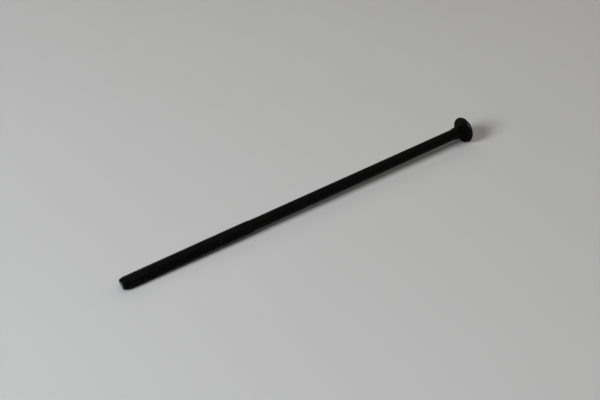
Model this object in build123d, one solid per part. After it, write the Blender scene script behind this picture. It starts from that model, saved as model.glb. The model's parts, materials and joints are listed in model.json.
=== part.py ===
from build123d import *
from math import atan2, degrees, radians, sqrt, tan
import os

# A long round-head bolt with a square neck, forged and rolled from one length of wire.
# It lies as it comes to rest, on the rim of its head and the first crest of its thread.
# +X runs from the point to the head, +Z is up, and the origin is below the middle, on the surface.
# All lengths are in millimetres and all angles in degrees.

# Body, measured along the bolt from the middle of its end
bolt_length = 254.0
thread_diameter = 7.94
thread_length = 84.1
runout_length = 2.8
shank_diameter = 7.2

# Point, sheared out of square, with its longest side round from the top towards -Y
point_diameter = 6.5
point_angle = 16.0
point_edge = 0.2
cut_angle = 7.0
cut_roll = 35.0

# Head
head_diameter = 17.4
head_height = 4.4
rim_height = 1.2
rim_lower_radius = 0.35
rim_upper_radius = 0.9

# Square neck, with one corner up as the bolt lies
neck_width = 8.05
neck_depth = 5.3
neck_corner_radius = 0.8
neck_taper_angle = 30.0
neck_root_radius = 0.4
neck_roll = 45.0

# Sizes that follow from those above
thread_radius = thread_diameter / 2
shank_radius = shank_diameter / 2
point_radius = point_diameter / 2
head_radius = head_diameter / 2
point_slope = tan(radians(point_angle))
point_length = (thread_radius - point_radius) / point_slope
cut_reach = thread_radius * tan(radians(cut_angle))
neck_corner_reach = (neck_width / 2 - neck_corner_radius) * sqrt(2) + neck_corner_radius
neck_taper_slope = tan(radians(neck_taper_angle))
neck_full_start = bolt_length - neck_depth
neck_taper_apex = neck_full_start - neck_corner_reach / neck_taper_slope
inside_head = bolt_length + rim_height

# The head stands the axis up at one end: its rim and the thread touch the same level surface.
rest_tilt = degrees(
    atan2(head_radius - thread_radius, bolt_length + rim_lower_radius - point_length)
)


def rolled_body():
    """Point, thread blank, run-out and shank, turned about the bolt's axis, then sheared at the point."""
    outline = Polyline(
        (0, -cut_reach),
        (point_radius - cut_reach * point_slope, -cut_reach),
        (thread_radius, point_length),
        (thread_radius, thread_length),
        (shank_radius, thread_length + runout_length),
        (shank_radius, inside_head),
        (0, inside_head),
        close=True,
    )
    turned = revolve(Plane.XZ * make_face(outline), Axis.Z)
    cut = Plane(Rot(Z=180 + cut_roll) * Rot(Y=cut_angle))
    sheared = split(turned, bisect_by=cut, keep=Keep.TOP)
    end = sheared.faces().sort_by(Axis.Z)[0]
    return chamfer(end.edges(), point_edge)


def domed_head():
    """Flat underside, short rim and a low dome that is one arc from rim to rim."""
    crown = bolt_length + head_height
    shoulder = bolt_length + rim_height
    outline = Polyline((0, crown), (0, bolt_length), (head_radius, bolt_length), (head_radius, shoulder))
    dome = ThreePointArc((head_radius, shoulder), (0, crown), (-head_radius, shoulder))
    half_dome = dome.trim(0, 1 / 2)
    profile = make_face(outline + half_dome)
    rim = profile.vertices().group_by(Axis.X)[-1].sort_by(Axis.Y)
    profile = fillet(rim[0], rim_lower_radius)
    rim = profile.vertices().sort_by_distance((head_radius, shoulder))
    profile = fillet(rim[0], rim_upper_radius)
    return revolve(Plane.XZ * profile, Axis.Z)


def square_neck():
    """Square with rounded corners, whose end towards the thread is swaged down to the shank by a cone."""
    square = Rot(Z=neck_roll) * RectangleRounded(neck_width, neck_width, neck_corner_radius)
    prism = extrude(Pos(Z=neck_taper_apex) * square, inside_head - neck_taper_apex)
    cone_radius = (inside_head - neck_taper_apex) * neck_taper_slope
    cone = Polyline((0, neck_taper_apex), (cone_radius, inside_head), (0, inside_head), close=True)
    return prism & revolve(Plane.XZ * make_face(cone), Axis.Z)


def forged_bolt():
    """The whole bolt, standing on its point, with the corner under the head rounded."""
    bolt = rolled_body() + domed_head() + square_neck()
    underside = bolt.faces().filter_by(Axis.Z).sort_by_distance((0, 0, bolt_length))[0]
    return fillet(underside.inner_wires()[0].edges(), neck_root_radius)


def laid_down(bolt):
    """Turned from standing to lying, and set on the surface with the origin below its middle."""
    lying = Rot(Y=90 - rest_tilt) * bolt
    box = lying.bounding_box()
    return Pos(-box.center().X, -box.center().Y, -box.min.Z) * lying


os.makedirs("parts", exist_ok=True)
carriage_bolt = laid_down(forged_bolt())
export_step(carriage_bolt, "parts/carriage_bolt.step")
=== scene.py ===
import json
from math import atan2, cos, hypot, pi, radians, sin, sqrt, tan

import bmesh
import bpy
import numpy as np
from mathutils import Matrix, Vector


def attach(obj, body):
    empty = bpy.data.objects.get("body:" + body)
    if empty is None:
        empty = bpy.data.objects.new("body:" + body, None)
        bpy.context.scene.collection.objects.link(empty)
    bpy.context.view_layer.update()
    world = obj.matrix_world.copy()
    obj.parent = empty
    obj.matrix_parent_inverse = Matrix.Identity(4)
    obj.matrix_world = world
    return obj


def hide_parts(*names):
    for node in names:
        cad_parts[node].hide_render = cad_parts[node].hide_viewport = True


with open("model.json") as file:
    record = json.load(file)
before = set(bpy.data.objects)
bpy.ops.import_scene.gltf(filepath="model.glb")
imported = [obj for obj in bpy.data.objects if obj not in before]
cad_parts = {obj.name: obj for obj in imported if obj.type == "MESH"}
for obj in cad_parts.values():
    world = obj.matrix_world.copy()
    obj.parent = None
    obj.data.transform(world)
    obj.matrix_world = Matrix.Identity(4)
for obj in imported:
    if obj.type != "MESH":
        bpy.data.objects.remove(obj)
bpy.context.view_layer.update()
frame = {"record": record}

mounts = {mount["name"]: mount for mount in frame["record"]["mounts"]}
mm = 0.001  # the sizes below are written in millimetres
scene = bpy.context.scene
scene.view_settings.view_transform = "Standard"


# The bolt's own sizes in millimetres and degrees, along its axis from the point
boltSizes = {
    "length": 254.0,  # middle of the end to the underside of the head
    "threadRadius": mounts["thread"]["dims"]["r_mm"],
    "threadLength": 84.1,
    "runout": 2.8,  # where the dies leave the wire
    "shankRadius": 3.6,
    "pointRadius": 3.25,
    "pointAngle": 16.0,
    "pointEdge": 0.2,  # broken edge round the end
    "cutAngle": 7.0,  # the end is sheared out of square
    "cutRoll": 215.0,  # where round the bolt, from straight down, the end reaches furthest
    "stepsAround": 72,  # a multiple of 8
    "weld": 0.002,  # points nearer than this become one
    "sliver": 0.0002,  # and edges shorter than this go
    "sharpAngle": 38.0,  # edges that turn by more than this stay crisp
}


def boltPlace():
    # local +Z runs from the point to the head, local +X hangs down
    underside = Vector(mounts["bearing_face"]["pos_m"])
    axis = -Vector(mounts["bearing_face"]["axis"]).normalized()
    side = Vector((0, 1, 0))
    down = side.cross(axis)
    place = Matrix((down, side, axis)).transposed().to_4x4()
    place.translation = underside - axis * boltSizes["length"] * mm
    return place


# Thread: a right-hand 60 degree form, 18 turns to the inch, in shares of the pitch
threadForm = {
    "pitch": 25.4 / 18,  # mm
    "depth": 0.6134,
    "crestFlat": 0.125,
    "rounding": 0.3,  # of crest and root, as a share of the depth
    "flankAngle": 30.0,
    "startStep": 53,  # where round the bolt the first crest begins, in steps
    "rows": (0.0, 0.05, 0.1, 0.2, 0.33, 0.42, 0.5),  # from the middle of a crest to the middle of a root
    "turnsBefore": 2,  # spare turns ahead of the point, and past the run-out, which are cut off there
    "turnsAfter": 1,
    "snap": 0.09,  # rows this near to the end's two edges move onto them (mm)
}


def threadRootRadius():
    return boltSizes["threadRadius"] - threadForm["depth"] * threadForm["pitch"]


def buildThreadTree(finish):
    tree = bpy.data.node_groups.new("rolledThread", "GeometryNodeTree")
    tree.is_modifier = True
    flank = threadForm["depth"] * tan(radians(threadForm["flankAngle"]))
    sizes = (
        ("Pitch", threadForm["pitch"] * mm),
        ("Crest Radius", boltSizes["threadRadius"] * mm),
        ("Root Radius", threadRootRadius() * mm),
        ("Crest Half", threadForm["crestFlat"] / 2),
        ("Flank", flank),
        ("Rounding", threadForm["rounding"]),
        ("Start", threadForm["startStep"] / boltSizes["stepsAround"]),
        ("Thread Length", boltSizes["threadLength"] * mm),
        ("Thread End", (boltSizes["threadLength"] + boltSizes["runout"]) * mm),
        ("Shank Radius", boltSizes["shankRadius"] * mm),
        ("Point Radius", boltSizes["pointRadius"] * mm),
        ("Point Slope", tan(radians(boltSizes["pointAngle"]))),
        ("Point Edge", boltSizes["pointEdge"] * mm),
        ("Cut Slope", tan(radians(boltSizes["cutAngle"]))),
        ("Cut Roll", radians(boltSizes["cutRoll"])),
        ("Snap", threadForm["snap"] * mm),
        ("Weld", boltSizes["weld"] * mm),
    )
    counts = (("Steps Around", boltSizes["stepsAround"]),)
    settings = []
    for kind, pairs in (("NodeSocketFloat", sizes), ("NodeSocketInt", counts)):
        for name, value in pairs:
            socket = tree.interface.new_socket(name=name, in_out="INPUT", socket_type=kind)
            socket.default_value = value
            settings.append((socket.identifier, value))
    tree.interface.new_socket(name="Geometry", in_out="OUTPUT", socket_type="NodeSocketGeometry")
    given = tree.nodes.new("NodeGroupInput").outputs

    def feed(socket, value):
        if isinstance(value, bpy.types.NodeSocket):
            tree.links.new(value, socket)
        else:
            socket.default_value = value

    def calc(operation, *values):
        node = tree.nodes.new("ShaderNodeMath")
        node.operation = operation
        for socket, value in zip(node.inputs, values):
            feed(socket, value)
        return node.outputs[0]

    def pick(index, values):
        node = tree.nodes.new("GeometryNodeIndexSwitch")
        node.data_type = "FLOAT"
        while len(node.index_switch_items) < len(values):
            node.index_switch_items.new()
        feed(node.inputs[0], index)
        for socket, value in zip(list(node.inputs)[1:], values):
            socket.default_value = value
        return node.outputs[0]

    # a ribbon one pitch wide, from root to root, wound from before the point to past the run-out
    places = [-place for place in reversed(threadForm["rows"])] + list(threadForm["rows"][1:])
    rows = len(places)
    spare = threadForm["turnsBefore"] + threadForm["turnsAfter"]
    turns = calc("ADD", calc("CEIL", calc("DIVIDE", given["Thread End"], given["Pitch"])), spare)
    grid = tree.nodes.new("GeometryNodeMeshGrid")
    feed(grid.inputs["Vertices X"], calc("ADD", calc("MULTIPLY", turns, given["Steps Around"]), 1))
    feed(grid.inputs["Vertices Y"], rows)
    index = tree.nodes.new("GeometryNodeInputIndex").outputs[0]
    step = calc("FLOOR", calc("DIVIDE", calc("ADD", index, 0.5), rows))  # the half is safe from rounding
    row = calc("SUBTRACT", index, calc("MULTIPLY", step, rows))
    turn = calc("SUBTRACT", calc("DIVIDE", step, given["Steps Around"]), threadForm["turnsBefore"])
    angle = calc("MULTIPLY", calc("SUBTRACT", turn, given["Start"]), 2 * pi)

    # the end's two edges, where the slanted cut meets its broken corner and the cone
    lean = calc("MULTIPLY", calc("COSINE", calc("SUBTRACT", angle, given["Cut Roll"])), given["Cut Slope"])
    inner = calc("SUBTRACT", given["Point Radius"], given["Point Edge"])
    spread = calc("MULTIPLY_ADD", lean, given["Point Slope"], 1)
    endRadius = calc("DIVIDE", inner, spread)
    cutEdge = calc("MULTIPLY", calc("MULTIPLY", lean, endRadius), -1)
    coneEdge = calc("ADD", cutEdge, given["Point Edge"])
    along = calc("MULTIPLY", calc("ADD", turn, pick(row, places)), given["Pitch"])
    along = calc("MINIMUM", calc("MAXIMUM", along, cutEdge), given["Thread End"])
    for edge in (cutEdge, coneEdge):
        near = calc("COMPARE", along, edge, given["Snap"])
        along = calc("MULTIPLY_ADD", calc("SUBTRACT", edge, along), near, along)

    # height in the thread from the distance to the nearest crest, its corners rounded
    halfPitch = threadForm["rows"][-1]
    apart = calc("PINGPONG", calc("SUBTRACT", calc("DIVIDE", along, given["Pitch"]), turn), halfPitch)
    drop = calc("DIVIDE", calc("SUBTRACT", apart, given["Crest Half"]), given["Flank"])
    height = calc("SMOOTH_MIN", calc("SUBTRACT", 1, drop), 1, given["Rounding"])
    height = calc("SMOOTH_MAX", height, 0, given["Rounding"])
    depth = calc("SUBTRACT", given["Crest Radius"], given["Root Radius"])
    full = calc("MULTIPLY_ADD", height, depth, given["Root Radius"])

    # the grooves fade out onto the shank, and the point's cone and broken edge cut the first crests
    fade = tree.nodes.new("ShaderNodeMapRange")
    fade.interpolation_type = "SMOOTHSTEP"
    feed(fade.inputs["Value"], along)
    feed(fade.inputs["From Min"], given["Thread Length"])
    feed(fade.inputs["From Max"], given["Thread End"])
    faded = calc("MULTIPLY_ADD", calc("SUBTRACT", given["Shank Radius"], full), fade.outputs[0], full)
    cone = calc("MULTIPLY_ADD", along, given["Point Slope"], given["Point Radius"])
    broken = calc("SUBTRACT", calc("ADD", cone, along), coneEdge)
    lip = calc("SUBTRACT", endRadius, calc("SUBTRACT", along, cutEdge))  # closes a groove that meets the end
    radius = calc("MINIMUM", calc("MAXIMUM", faded, lip), calc("MINIMUM", cone, broken))

    spot = tree.nodes.new("ShaderNodeCombineXYZ")
    feed(spot.inputs[0], calc("MULTIPLY", radius, calc("COSINE", angle)))
    feed(spot.inputs[1], calc("MULTIPLY", radius, calc("SINE", angle)))
    feed(spot.inputs[2], along)
    wind = tree.nodes.new("GeometryNodeSetPosition")
    feed(wind.inputs["Geometry"], grid.outputs["Mesh"])
    feed(wind.inputs["Position"], spot.outputs[0])
    weld = tree.nodes.new("GeometryNodeMergeByDistance")
    feed(weld.inputs["Geometry"], wind.outputs[0])
    feed(weld.inputs["Distance"], given["Weld"])
    real = tree.nodes.new("GeometryNodeRealizeInstances")
    feed(real.inputs[0], weld.outputs[0])
    paint = tree.nodes.new("GeometryNodeSetMaterial")
    feed(paint.inputs["Geometry"], real.outputs[0])
    paint.inputs["Material"].default_value = finish
    feed(tree.nodes.new("NodeGroupOutput").inputs[0], paint.outputs[0])
    return tree, settings


def windThread(finish):
    tree, settings = buildThreadTree(finish)
    holder = bpy.data.objects.new("threadHolder", bpy.data.meshes.new("threadHolder"))
    scene.collection.objects.link(holder)
    modifier = holder.modifiers.new("rolledThread", "NODES")
    modifier.node_group = tree
    for identifier, value in settings:
        modifier[identifier] = value
    shown = holder.evaluated_get(bpy.context.evaluated_depsgraph_get())
    thread = bpy.data.meshes.new_from_object(shown)
    holder.modifiers.remove(modifier)
    bpy.data.objects.remove(holder)
    bpy.data.node_groups.remove(tree)
    print("thread wound:", len(thread.polygons), "faces")
    return thread


# Square neck and head, forged in one blow, and the point's end
neckForm = {
    "width": 8.05,
    "depth": 5.3,  # of the full square
    "cornerRadius": 0.8,
    "taperAngle": 30.0,
    "rootRadius": 0.4,  # under the head
    "softness": 0.25,  # of the edges that the die leaves
    "softReach": 1.0,  # how far past the taper's ends they are followed
    "cornerSteps": 4,  # of each half corner
    "taperRing": 0.15,  # from one ring to the next there
    "shankRings": 12,
}
headForm = {
    "radius": 8.7,
    "height": 4.4,
    "rimHeight": 1.2,
    "rimLowerRadius": 0.35,
    "rimUpperRadius": 0.9,
    "undersideRings": 5,
    "roundRings": 6,
    "domeRings": 16,
}
endForm = {
    "cup": 0.12,  # how far rolling leaves the end hollow
    "rings": 5,
}


def softMin(a, b, softness):
    share = min(1.0, max(0.0, 0.5 + 0.5 * (b - a) / softness))
    return b + (a - b) * share - softness * share * (1 - share)


def softMax(a, b, softness):
    return -softMin(-a, -b, softness)


def squareOutline():
    # polar angle and reach of each point round the rounded square, a corner at angle zero
    around = boltSizes["stepsAround"]
    halfSide = around // 8
    corner = neckForm["cornerSteps"]
    half = neckForm["width"] / 2
    centre = (half - neckForm["cornerRadius"]) * sqrt(2)
    outline = []
    for i in range(around):
        quarter = (i + halfSide) // (2 * halfSide)
        k = i - 2 * halfSide * quarter
        if abs(k) <= corner:
            turn = radians(45) * k / corner
            x = centre + neckForm["cornerRadius"] * cos(turn)
            y = neckForm["cornerRadius"] * sin(turn)
        else:
            share = (abs(k) - corner) / (halfSide - corner)
            edge = neckForm["cornerRadius"] * cos(radians(45))
            x = (centre + edge) * (1 - share) + half * cos(radians(45)) * share
            y = (edge * (1 - share) + half * sin(radians(45)) * share) * (1 if k > 0 else -1)
        outline.append((atan2(y, x) + quarter * pi / 2, hypot(x, y)))
    return outline


def forgedRings():
    # rings of the shank, neck and head from the run-out to the crown, each a list of (angle, radius, along)
    around = boltSizes["stepsAround"]
    even = [2 * pi * i / around for i in range(around)]
    square = squareOutline()
    shank = boltSizes["shankRadius"]
    length = boltSizes["length"]
    soft = neckForm["softness"]
    slope = tan(radians(neckForm["taperAngle"]))
    reach = max(r for _, r in square)
    fullStart = length - neckForm["depth"]
    taperStart = fullStart - (reach - shank) / slope
    rings = []

    def plain(radius, along):
        rings.append([(a, radius, along) for a in even])

    def squared(along, grow=0.0):
        cone = shank + (along - taperStart) * slope
        rings.append([(a, softMax(shank, softMin(cone, r, soft), soft) + grow, along) for a, r in square])

    start = boltSizes["threadLength"] + boltSizes["runout"]
    plain(shank, start)
    shankEnd = taperStart - neckForm["softReach"]
    for i in range(1, neckForm["shankRings"] + 1):
        share = i / neckForm["shankRings"]
        along = start + (shankEnd - start) * share
        rings.append([(e + (a - e) * share, shank, along) for e, (a, _) in zip(even, square)])
    taperLength = fullStart + neckForm["softReach"] - shankEnd
    taperRings = int(taperLength / neckForm["taperRing"])
    for i in range(1, taperRings + 1):
        squared(shankEnd + taperLength * i / taperRings)
    root = neckForm["rootRadius"]
    bends = headForm["roundRings"]
    for i in range(bends + 1):
        turn = pi / 2 * i / bends
        squared(length - root * (1 - sin(turn)), root * (1 - cos(turn)))

    lower = headForm["rimLowerRadius"]
    flat = headForm["radius"] - lower
    foot = rings[-1]
    for i in range(1, headForm["undersideRings"] + 1):
        share = i / headForm["undersideRings"]
        rings.append([
            (a + (e - a) * share, r + (flat - r) * share, length)
            for (a, r, _), e in zip(foot, even)
        ])
    for i in range(1, bends + 1):
        turn = pi / 2 * i / bends
        plain(flat + lower * sin(turn), length + lower * (1 - cos(turn)))

    crown = length + headForm["height"]
    rise = headForm["height"] - headForm["rimHeight"]
    dome = (headForm["radius"] ** 2 + rise ** 2) / (2 * rise)
    upper = headForm["rimUpperRadius"]
    bendRadius = headForm["radius"] - upper
    domeCentre = crown - dome
    bendCentre = domeCentre + sqrt((dome - upper) ** 2 - bendRadius ** 2)
    bendEnd = atan2(bendCentre - domeCentre, bendRadius)
    for i in range(bends + 1):
        turn = bendEnd * i / bends
        plain(bendRadius + upper * cos(turn), bendCentre + upper * sin(turn))
    for i in range(1, headForm["domeRings"]):
        turn = bendEnd + (pi / 2 - bendEnd) * i / headForm["domeRings"]
        plain(dome * cos(turn), domeCentre + dome * sin(turn))
    return rings, crown


def cutLean(angle):
    # how steeply the slanted cut runs outwards in this direction round the bolt
    return tan(radians(boltSizes["cutAngle"])) * cos(angle - radians(boltSizes["cutRoll"]))


def endRings():
    # the point's sheared end, a little hollow
    around = boltSizes["stepsAround"]
    slope = tan(radians(boltSizes["pointAngle"]))
    inner = boltSizes["pointRadius"] - boltSizes["pointEdge"]
    rings = []
    for i in range(endForm["rings"]):
        share = i / endForm["rings"]
        hollow = endForm["cup"] * sin(share * pi / 2) ** 2
        ring = []
        for k in range(around):
            angle = 2 * pi * k / around
            lean = cutLean(angle)
            radius = inner / (1 + lean * slope) * (1 - share)
            ring.append((angle, radius, hollow - lean * radius))
        rings.append(ring)
    return rings, endForm["cup"]


def layRings(mesh, rings, pole):
    previous = None
    for ring in rings:
        row = [mesh.verts.new((r * cos(a) * mm, r * sin(a) * mm, z * mm)) for a, r, z in ring]
        if previous:
            for i in range(len(row)):
                j = (i + 1) % len(row)
                mesh.faces.new((previous[i], previous[j], row[j], row[i]))
        previous = row
    top = mesh.verts.new((0, 0, pole * mm))
    for i in range(len(previous)):
        mesh.faces.new((previous[i], previous[(i + 1) % len(previous)], top))


# Where handling rubs the finish thin, where highlights are painted on, and where the wire was cut
wearAndHighlightForm = {
    "crestFrom": 0.86,  # height in the thread
    "crestShare": 0.25,  # how far the finish has gone there
    "cornerFrom": 0.5,  # share of the way from the neck's flats to its corners
    "cornerShare": 0.25,
    "cornerStart": 1.0,  # how far down the taper the corners are rubbed (mm)
    "rimInset": 0.4,  # the wear and the painted highlight round the head's lower edge lie this far in from its widest part (mm)
    "rimReach": 0.4,  # how far the wear and the painted highlight go to either side, and how far they are full (mm)
    "rimFull": 0.1,
    "rimShare": 0.2,
    "highlightRoll": 215.0,  # where round the head its lower edge is painted light, a painted highlight
    "highlightFrom": 0.93,  # cosine of the way round from there
    "highlightFull": 0.985,
    "tipHighlightLength": 28.0,  # how far from the point the first crests are painted lighter, a painted highlight (mm)
    "tipHighlightShare": 0.5,
    "endDepth": 0.15,  # how deep the bare cut end reaches (mm)
    "paleSideRoll": 316.0,  # where round the bolt the end is pale; towards the other side it keeps the black finish
    "paleSideFrom": -0.55,  # across the end in that direction, in shares of its radius
    "paleSideFull": -0.25,
}


def markWearAndHighlights(data):
    # attributes read by the finish, each from 0 to 1
    local = np.empty(len(data.vertices) * 3)
    data.vertices.foreach_get("co", local)
    local = local.reshape(-1, 3) / mm
    along = local[:, 2]
    reach = np.hypot(local[:, 0], local[:, 1])
    length = boltSizes["length"]
    threadEnd = boltSizes["threadLength"] + boltSizes["runout"]

    def ramp(value, low, high):
        return np.clip((value - low) / (high - low), 0, 1)

    root = threadRootRadius()
    height = (reach - root) / (boltSizes["threadRadius"] - root)
    # crests carry real wear, painted lighter still towards the point as a painted highlight
    tipHighlight = ramp(along, wearAndHighlightForm["tipHighlightLength"], 0) * (wearAndHighlightForm["tipHighlightShare"] - wearAndHighlightForm["crestShare"])
    crestWearAndHighlight = ramp(height, wearAndHighlightForm["crestFrom"], 1) * (along < threadEnd) * (wearAndHighlightForm["crestShare"] + tipHighlight)
    half = neckForm["width"] / 2
    corner = (half - neckForm["cornerRadius"]) * sqrt(2) + neckForm["cornerRadius"]
    neckStart = length - neckForm["depth"] - wearAndHighlightForm["cornerStart"]
    onNeck = (along > neckStart) & (along < length - neckForm["rootRadius"])
    edge = ramp((reach - half) / (corner - half), wearAndHighlightForm["cornerFrom"], 1) * onNeck
    edge *= wearAndHighlightForm["cornerShare"]
    around = np.arctan2(local[:, 1], local[:, 0])
    # painted highlight: round this roll the head's lower edge is painted light where light catches it;
    # elsewhere it keeps only the thin real wear
    highlightTurn = np.cos(around - radians(wearAndHighlightForm["highlightRoll"]))
    rimHighlight = ramp(highlightTurn, wearAndHighlightForm["highlightFrom"], wearAndHighlightForm["highlightFull"])
    rimBandRadius = headForm["radius"] - wearAndHighlightForm["rimInset"]
    rimWearAndHighlight = ramp(np.hypot(reach - rimBandRadius, along - length), wearAndHighlightForm["rimReach"], wearAndHighlightForm["rimFull"])
    rimWearAndHighlight *= np.maximum(rimHighlight, wearAndHighlightForm["rimShare"])
    wearAndHighlight = np.maximum.reduce((crestWearAndHighlight, edge, rimWearAndHighlight))
    cutSlope = tan(radians(boltSizes["cutAngle"]))
    depth = along + cutSlope * reach * np.cos(around - radians(boltSizes["cutRoll"]))
    # the end is pale towards one side only, black towards the other
    across = reach / boltSizes["pointRadius"] * np.cos(around - radians(wearAndHighlightForm["paleSideRoll"]))
    cutEnd = ramp(across, wearAndHighlightForm["paleSideFrom"], wearAndHighlightForm["paleSideFull"]) * (depth < wearAndHighlightForm["endDepth"])
    # rim and dome above the lower round: smoother, and tinted with a painted warm reflection
    upperHead = ramp(along, length, length + headForm["rimLowerRadius"])
    for name, values in (("wearAndHighlight", wearAndHighlight), ("cutEnd", cutEnd), ("upperHead", upperHead)):
        layer = data.attributes.new(name, "FLOAT", "POINT")
        layer.data.foreach_set("value", values.astype(np.float32))


def makeBolt(finish):
    thread = windThread(finish)
    mesh = bmesh.new()
    mesh.from_mesh(thread)
    bpy.data.meshes.remove(thread)
    for rings, pole in (forgedRings(), endRings()):
        layRings(mesh, rings, pole)
    bmesh.ops.remove_doubles(mesh, verts=mesh.verts, dist=boltSizes["weld"] * mm)
    bmesh.ops.dissolve_degenerate(mesh, edges=mesh.edges, dist=boltSizes["sliver"] * mm)
    bmesh.ops.recalc_face_normals(mesh, faces=mesh.faces)
    openEdges = sum(not edge.is_manifold for edge in mesh.edges)
    data = bpy.data.meshes.new("carriageBolt")
    mesh.to_mesh(data)
    mesh.free()
    markWearAndHighlights(data)
    data.transform(boltPlace())
    data.materials.append(finish)
    data.shade_smooth()
    data.set_sharp_from_angle(angle=radians(boltSizes["sharpAngle"]))
    bolt = bpy.data.objects.new("carriageBolt", data)
    scene.collection.objects.link(bolt)
    print("bolt made:", len(data.polygons), "faces,", openEdges, "open edges")
    return bolt


# Black finish on rolled steel
blackFinish = {
    "dark": (0.0010, 0.0010, 0.0010, 1),
    "light": (0.0024, 0.0024, 0.0022, 1),
    # the dome: lighter than the shank as a guess at its finish, its brown tint a painted warm reflection
    "domeDarkWarmReflection": (0.0055, 0.0048, 0.0044, 1),
    "domeLightWarmReflection": (0.0130, 0.0115, 0.0105, 1),
    "wornAndHighlightTone": (0.049, 0.0485, 0.045, 1),
    # the cut end: bare steel, its blue tint a painted reflection of cool light
    "cutSteelWithCoolReflection": (0.08, 0.088, 0.104, 1),
    "cutSteelWithCoolReflectionDark": (0.05, 0.055, 0.065, 1),
    "specular": 0.045,
    "mottle": (160.0, 4),  # scale and detail of each noise
    "grain": (5200.0, 3),
    "streak": (1.0, 3),
    "fleck": (700.0, 2),
    "streakStretch": (70.0, 2600.0, 2600.0),
    "mottleRange": (0.35, 0.68),  # the part of each noise that is used
    "grainRange": (0.4, 0.6),
    "streakRange": (0.3, 0.7),
    "wearAndHighlightRange": (0.7, 1.2),  # of the wear, the painted highlights and the flecks together
    "roughness": (0.38, 0.56),
    "headGloss": 0.5,  # the die leaves the head smoother
    "bump": 0.12,
    "bumpDepth": 0.00002,
}


def makeBlackSteel():
    finish = bpy.data.materials.new("blackSteel")
    finish.use_nodes = True
    tree = finish.node_tree
    tree.nodes.clear()
    out = tree.nodes.new("ShaderNodeOutputMaterial")
    steel = tree.nodes.new("ShaderNodeBsdfPrincipled")
    tree.links.new(steel.outputs[0], out.inputs[0])
    steel.inputs["Specular IOR Level"].default_value = blackFinish["specular"]

    where = tree.nodes.new("ShaderNodeTexCoord").outputs["Object"]
    turned = tree.nodes.new("ShaderNodeMapping")  # along the bolt rather than along the floor
    axis = -Vector(mounts["bearing_face"]["axis"])
    turned.inputs["Rotation"].default_value = (0, atan2(axis.z, axis.x), 0)
    tree.links.new(where, turned.inputs[0])
    stretched = tree.nodes.new("ShaderNodeMapping")
    stretched.inputs["Scale"].default_value = blackFinish["streakStretch"]
    tree.links.new(turned.outputs[0], stretched.inputs[0])

    def noise(name, place):
        scale, detail = blackFinish[name]
        node = tree.nodes.new("ShaderNodeTexNoise")
        node.inputs["Scale"].default_value = scale
        node.inputs["Detail"].default_value = detail
        tree.links.new(place, node.inputs["Vector"])
        return node.outputs["Fac"]

    def mapped(value, used, wanted=(0, 1)):
        node = tree.nodes.new("ShaderNodeMapRange")
        tree.links.new(value, node.inputs["Value"])
        for name, amount in zip(("From Min", "From Max", "To Min", "To Max"), (*used, *wanted)):
            node.inputs[name].default_value = amount
        return node.outputs[0]

    def marked(name):
        node = tree.nodes.new("ShaderNodeAttribute")
        node.attribute_name = name
        return node.outputs["Fac"]

    def blended(share, a, b):
        node = tree.nodes.new("ShaderNodeMix")
        node.data_type = "RGBA"  # its two colours are sockets 6 and 7, and their mix is output 2
        tree.links.new(share, node.inputs[0])
        for socket, value in ((node.inputs[6], a), (node.inputs[7], b)):
            if isinstance(value, bpy.types.NodeSocket):
                tree.links.new(value, socket)
            else:
                socket.default_value = value
        return node.outputs[2]

    def joined(operation, a, b):
        node = tree.nodes.new("ShaderNodeMath")
        node.operation = operation
        tree.links.new(a, node.inputs[0])
        tree.links.new(b, node.inputs[1])
        return node.outputs[0]

    mottle = noise("mottle", turned.outputs[0])
    grain = noise("grain", turned.outputs[0])
    streak = noise("streak", stretched.outputs[0])
    fleck = noise("fleck", turned.outputs[0])

    patchy = mapped(mottle, blackFinish["mottleRange"])
    tone = blended(patchy, blackFinish["dark"], blackFinish["light"])
    # the dome's tone, its brown tint a painted warm reflection
    dome = blended(patchy, blackFinish["domeDarkWarmReflection"], blackFinish["domeLightWarmReflection"])
    tone = blended(marked("upperHead"), tone, dome)
    wearAndHighlight = mapped(joined("ADD", marked("wearAndHighlight"), fleck), blackFinish["wearAndHighlightRange"])
    # the pale tone of real wear, also used for the painted highlights on the head's edge and the first
    # crests
    tone = blended(wearAndHighlight, tone, blackFinish["wornAndHighlightTone"])
    grainy = mapped(grain, blackFinish["grainRange"])
    # bare steel, with a painted cool reflection in its blue tint
    cut = blended(grainy, blackFinish["cutSteelWithCoolReflectionDark"], blackFinish["cutSteelWithCoolReflection"])
    tone = blended(marked("cutEnd"), tone, cut)
    tree.links.new(tone, steel.inputs["Base Color"])

    dull = mapped(streak, blackFinish["streakRange"], blackFinish["roughness"])
    less = mapped(marked("upperHead"), (0, 1), (1, blackFinish["headGloss"]))
    tree.links.new(joined("MULTIPLY", dull, less), steel.inputs["Roughness"])

    bump = tree.nodes.new("ShaderNodeBump")
    bump.inputs["Strength"].default_value = blackFinish["bump"]
    bump.inputs["Distance"].default_value = blackFinish["bumpDepth"]
    tree.links.new(grain, bump.inputs["Height"])
    tree.links.new(bump.outputs[0], steel.inputs["Normal"])
    print("black finish mixed")
    return finish


# Floor, room and light
studio = {
    "floorPale": (0.51, 0.51, 0.51, 1),
    "floorDull": (0.49, 0.49, 0.488, 1),
    "floorPatch": 9.0,  # scale of its faint mottling
    "floorRoughness": 0.65,
    "floorSpecular": 0.0,  # matt, so that the floor doesn't glare at a low angle
    "floorRadius": 6.0,  # m
    "floorSides": 128,
    "fadeFrom": 0.4,  # where the floor begins to fade into the backdrop (m)
    "fadeTo": 0.8,
    "roomColour": (1.0, 1.0, 1.0, 1),
    "roomStrength": 0.03,
    "backdropStrength": 0.5,
    "backdropTop": 0.7,  # sine of the height at which the pale backdrop has faded into the room
}
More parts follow.
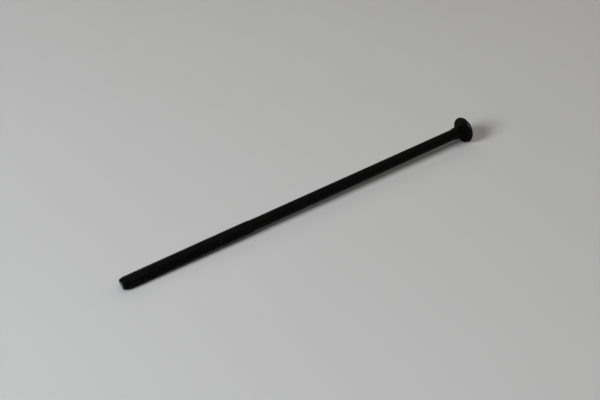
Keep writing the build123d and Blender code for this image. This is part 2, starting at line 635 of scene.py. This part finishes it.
# each softbox: where it hangs (m, from the bolt), its width (m), power (W) and colour
softboxes = {
    "left": {"place": (-1.27, -0.12, 0.78), "width": 0.56, "power": 25.2, "colour": (0.96, 0.98, 1.0)},
    "above": {"place": (0.2, -0.26, 1.1), "width": 0.9, "power": 3.2, "colour": (1.0, 0.985, 0.96)},
    "behind": {"place": (0.1, 1.0, 0.8), "width": 0.7, "power": 2.4, "colour": (1.0, 0.985, 0.96)},
    "right": {"place": (1.2, 0.05, 0.7), "width": 0.6, "power": 2.2, "colour": (1.0, 0.9, 0.75)},
}


def seenDirectly(tree):
    # 1 for what the camera sees straight on, mirrored or through glass
    rays = tree.nodes.new("ShaderNodeLightPath")
    seen = rays.outputs["Is Camera Ray"]
    for name in ("Is Glossy Ray", "Is Transmission Ray"):
        either = tree.nodes.new("ShaderNodeMath")
        either.operation = "MAXIMUM"
        tree.links.new(seen, either.inputs[0])
        tree.links.new(rays.outputs[name], either.inputs[1])
        seen = either.outputs[0]
    return seen


def makeFloor():
    mesh = bmesh.new()
    sides = studio["floorSides"]
    bmesh.ops.create_circle(mesh, cap_ends=True, segments=sides, radius=studio["floorRadius"])
    data = bpy.data.meshes.new("floor")
    mesh.to_mesh(data)
    mesh.free()
    floor = bpy.data.objects.new("floor", data)
    scene.collection.objects.link(floor)
    paint = bpy.data.materials.new("paleFloor")
    paint.use_nodes = True
    tree = paint.node_tree
    shader = tree.nodes["Principled BSDF"]
    patch = tree.nodes.new("ShaderNodeTexNoise")
    patch.inputs["Scale"].default_value = studio["floorPatch"]
    where = tree.nodes.new("ShaderNodeTexCoord").outputs["Object"]
    tree.links.new(where, patch.inputs["Vector"])
    tone = tree.nodes.new("ShaderNodeMix")
    tone.data_type = "RGBA"
    tone.inputs[6].default_value = studio["floorPale"]
    tone.inputs[7].default_value = studio["floorDull"]
    tree.links.new(patch.outputs["Fac"], tone.inputs[0])
    tree.links.new(tone.outputs[2], shader.inputs["Base Color"])
    shader.inputs["Roughness"].default_value = studio["floorRoughness"]
    shader.inputs["Specular IOR Level"].default_value = studio["floorSpecular"]

    # far from the bolt the floor turns into the backdrop, so that no horizon shows
    away = tree.nodes.new("ShaderNodeVectorMath")
    away.operation = "LENGTH"
    tree.links.new(where, away.inputs[0])
    fade = tree.nodes.new("ShaderNodeMapRange")
    fade.interpolation_type = "SMOOTHSTEP"
    fade.inputs["From Min"].default_value = studio["fadeFrom"]
    fade.inputs["From Max"].default_value = studio["fadeTo"]
    tree.links.new(away.outputs["Value"], fade.inputs["Value"])
    share = tree.nodes.new("ShaderNodeMath")
    share.operation = "MULTIPLY"
    tree.links.new(fade.outputs[0], share.inputs[0])
    tree.links.new(seenDirectly(tree), share.inputs[1])
    backdrop = tree.nodes.new("ShaderNodeEmission")
    backdrop.inputs["Color"].default_value = studio["roomColour"]
    backdrop.inputs["Strength"].default_value = studio["backdropStrength"]
    both = tree.nodes.new("ShaderNodeMixShader")
    tree.links.new(share.outputs[0], both.inputs[0])
    tree.links.new(shader.outputs[0], both.inputs[1])
    tree.links.new(backdrop.outputs[0], both.inputs[2])
    tree.links.new(both.outputs[0], tree.nodes["Material Output"].inputs["Surface"])
    data.materials.append(paint)
    print("floor laid")


def makeRoom():
    # a dim room, with a pale backdrop low down where it is seen straight on or mirrored
    world = bpy.data.worlds.new("paleRoom")
    world.use_nodes = True
    tree = world.node_tree
    sky = tree.nodes["Background"]
    sky.inputs["Color"].default_value = studio["roomColour"]
    height = tree.nodes.new("ShaderNodeSeparateXYZ")
    tree.links.new(tree.nodes.new("ShaderNodeTexCoord").outputs["Generated"], height.inputs[0])
    backdrop = tree.nodes.new("ShaderNodeMapRange")
    backdrop.interpolation_type = "SMOOTHSTEP"
    backdrop.inputs["From Max"].default_value = studio["backdropTop"]
    backdrop.inputs["To Min"].default_value = studio["backdropStrength"]
    backdrop.inputs["To Max"].default_value = studio["roomStrength"]
    tree.links.new(height.outputs["Z"], backdrop.inputs["Value"])
    strength = tree.nodes.new("ShaderNodeMapRange")
    strength.inputs["To Min"].default_value = studio["roomStrength"]
    tree.links.new(seenDirectly(tree), strength.inputs["Value"])
    tree.links.new(backdrop.outputs[0], strength.inputs["To Max"])
    tree.links.new(strength.outputs[0], sky.inputs["Strength"])
    scene.world = world
    print("room lit")


def makeLights():
    for name, box in softboxes.items():
        lamp = bpy.data.lights.new(name, "AREA")
        lamp.shape = "SQUARE"
        lamp.size = box["width"]
        lamp.energy = box["power"]
        lamp.color = box["colour"]
        softbox = bpy.data.objects.new(name, lamp)
        softbox.location = box["place"]
        softbox.rotation_euler = (-softbox.location).to_track_quat("-Z", "Y").to_euler()
        scene.collection.objects.link(softbox)
    print("lights hung:", ", ".join(softboxes))


# The photograph's view: 60 mm on a full frame, looking down along the bolt from its point
boltView = {
    "lens": 60.0,
    "sensor": 36.0,
    "azimuth": -35.06,
    "elevation": 38.04,
    "distance": 622.06,  # from the place on the floor that it aims at (mm)
    "aim": (-0.88, 9.62, 0.0),
}


def makeCamera():
    data = bpy.data.cameras.new("boltView")
    data.lens = boltView["lens"]
    data.sensor_width = boltView["sensor"]
    camera = bpy.data.objects.new("boltView", data)
    turn = radians(boltView["azimuth"])
    rise = radians(boltView["elevation"])
    back = Vector((sin(turn) * cos(rise), -cos(turn) * cos(rise), sin(rise)))
    camera.location = Vector(boltView["aim"]) * mm + back * boltView["distance"] * mm
    camera.rotation_euler = (-back).to_track_quat("-Z", "Y").to_euler()
    scene.collection.objects.link(camera)
    scene.camera = camera
    print("camera set")


makeCamera()
makeFloor()
makeRoom()
makeLights()
bolt = makeBolt(makeBlackSteel())
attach(bolt, "root")
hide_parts("carriage_bolt")
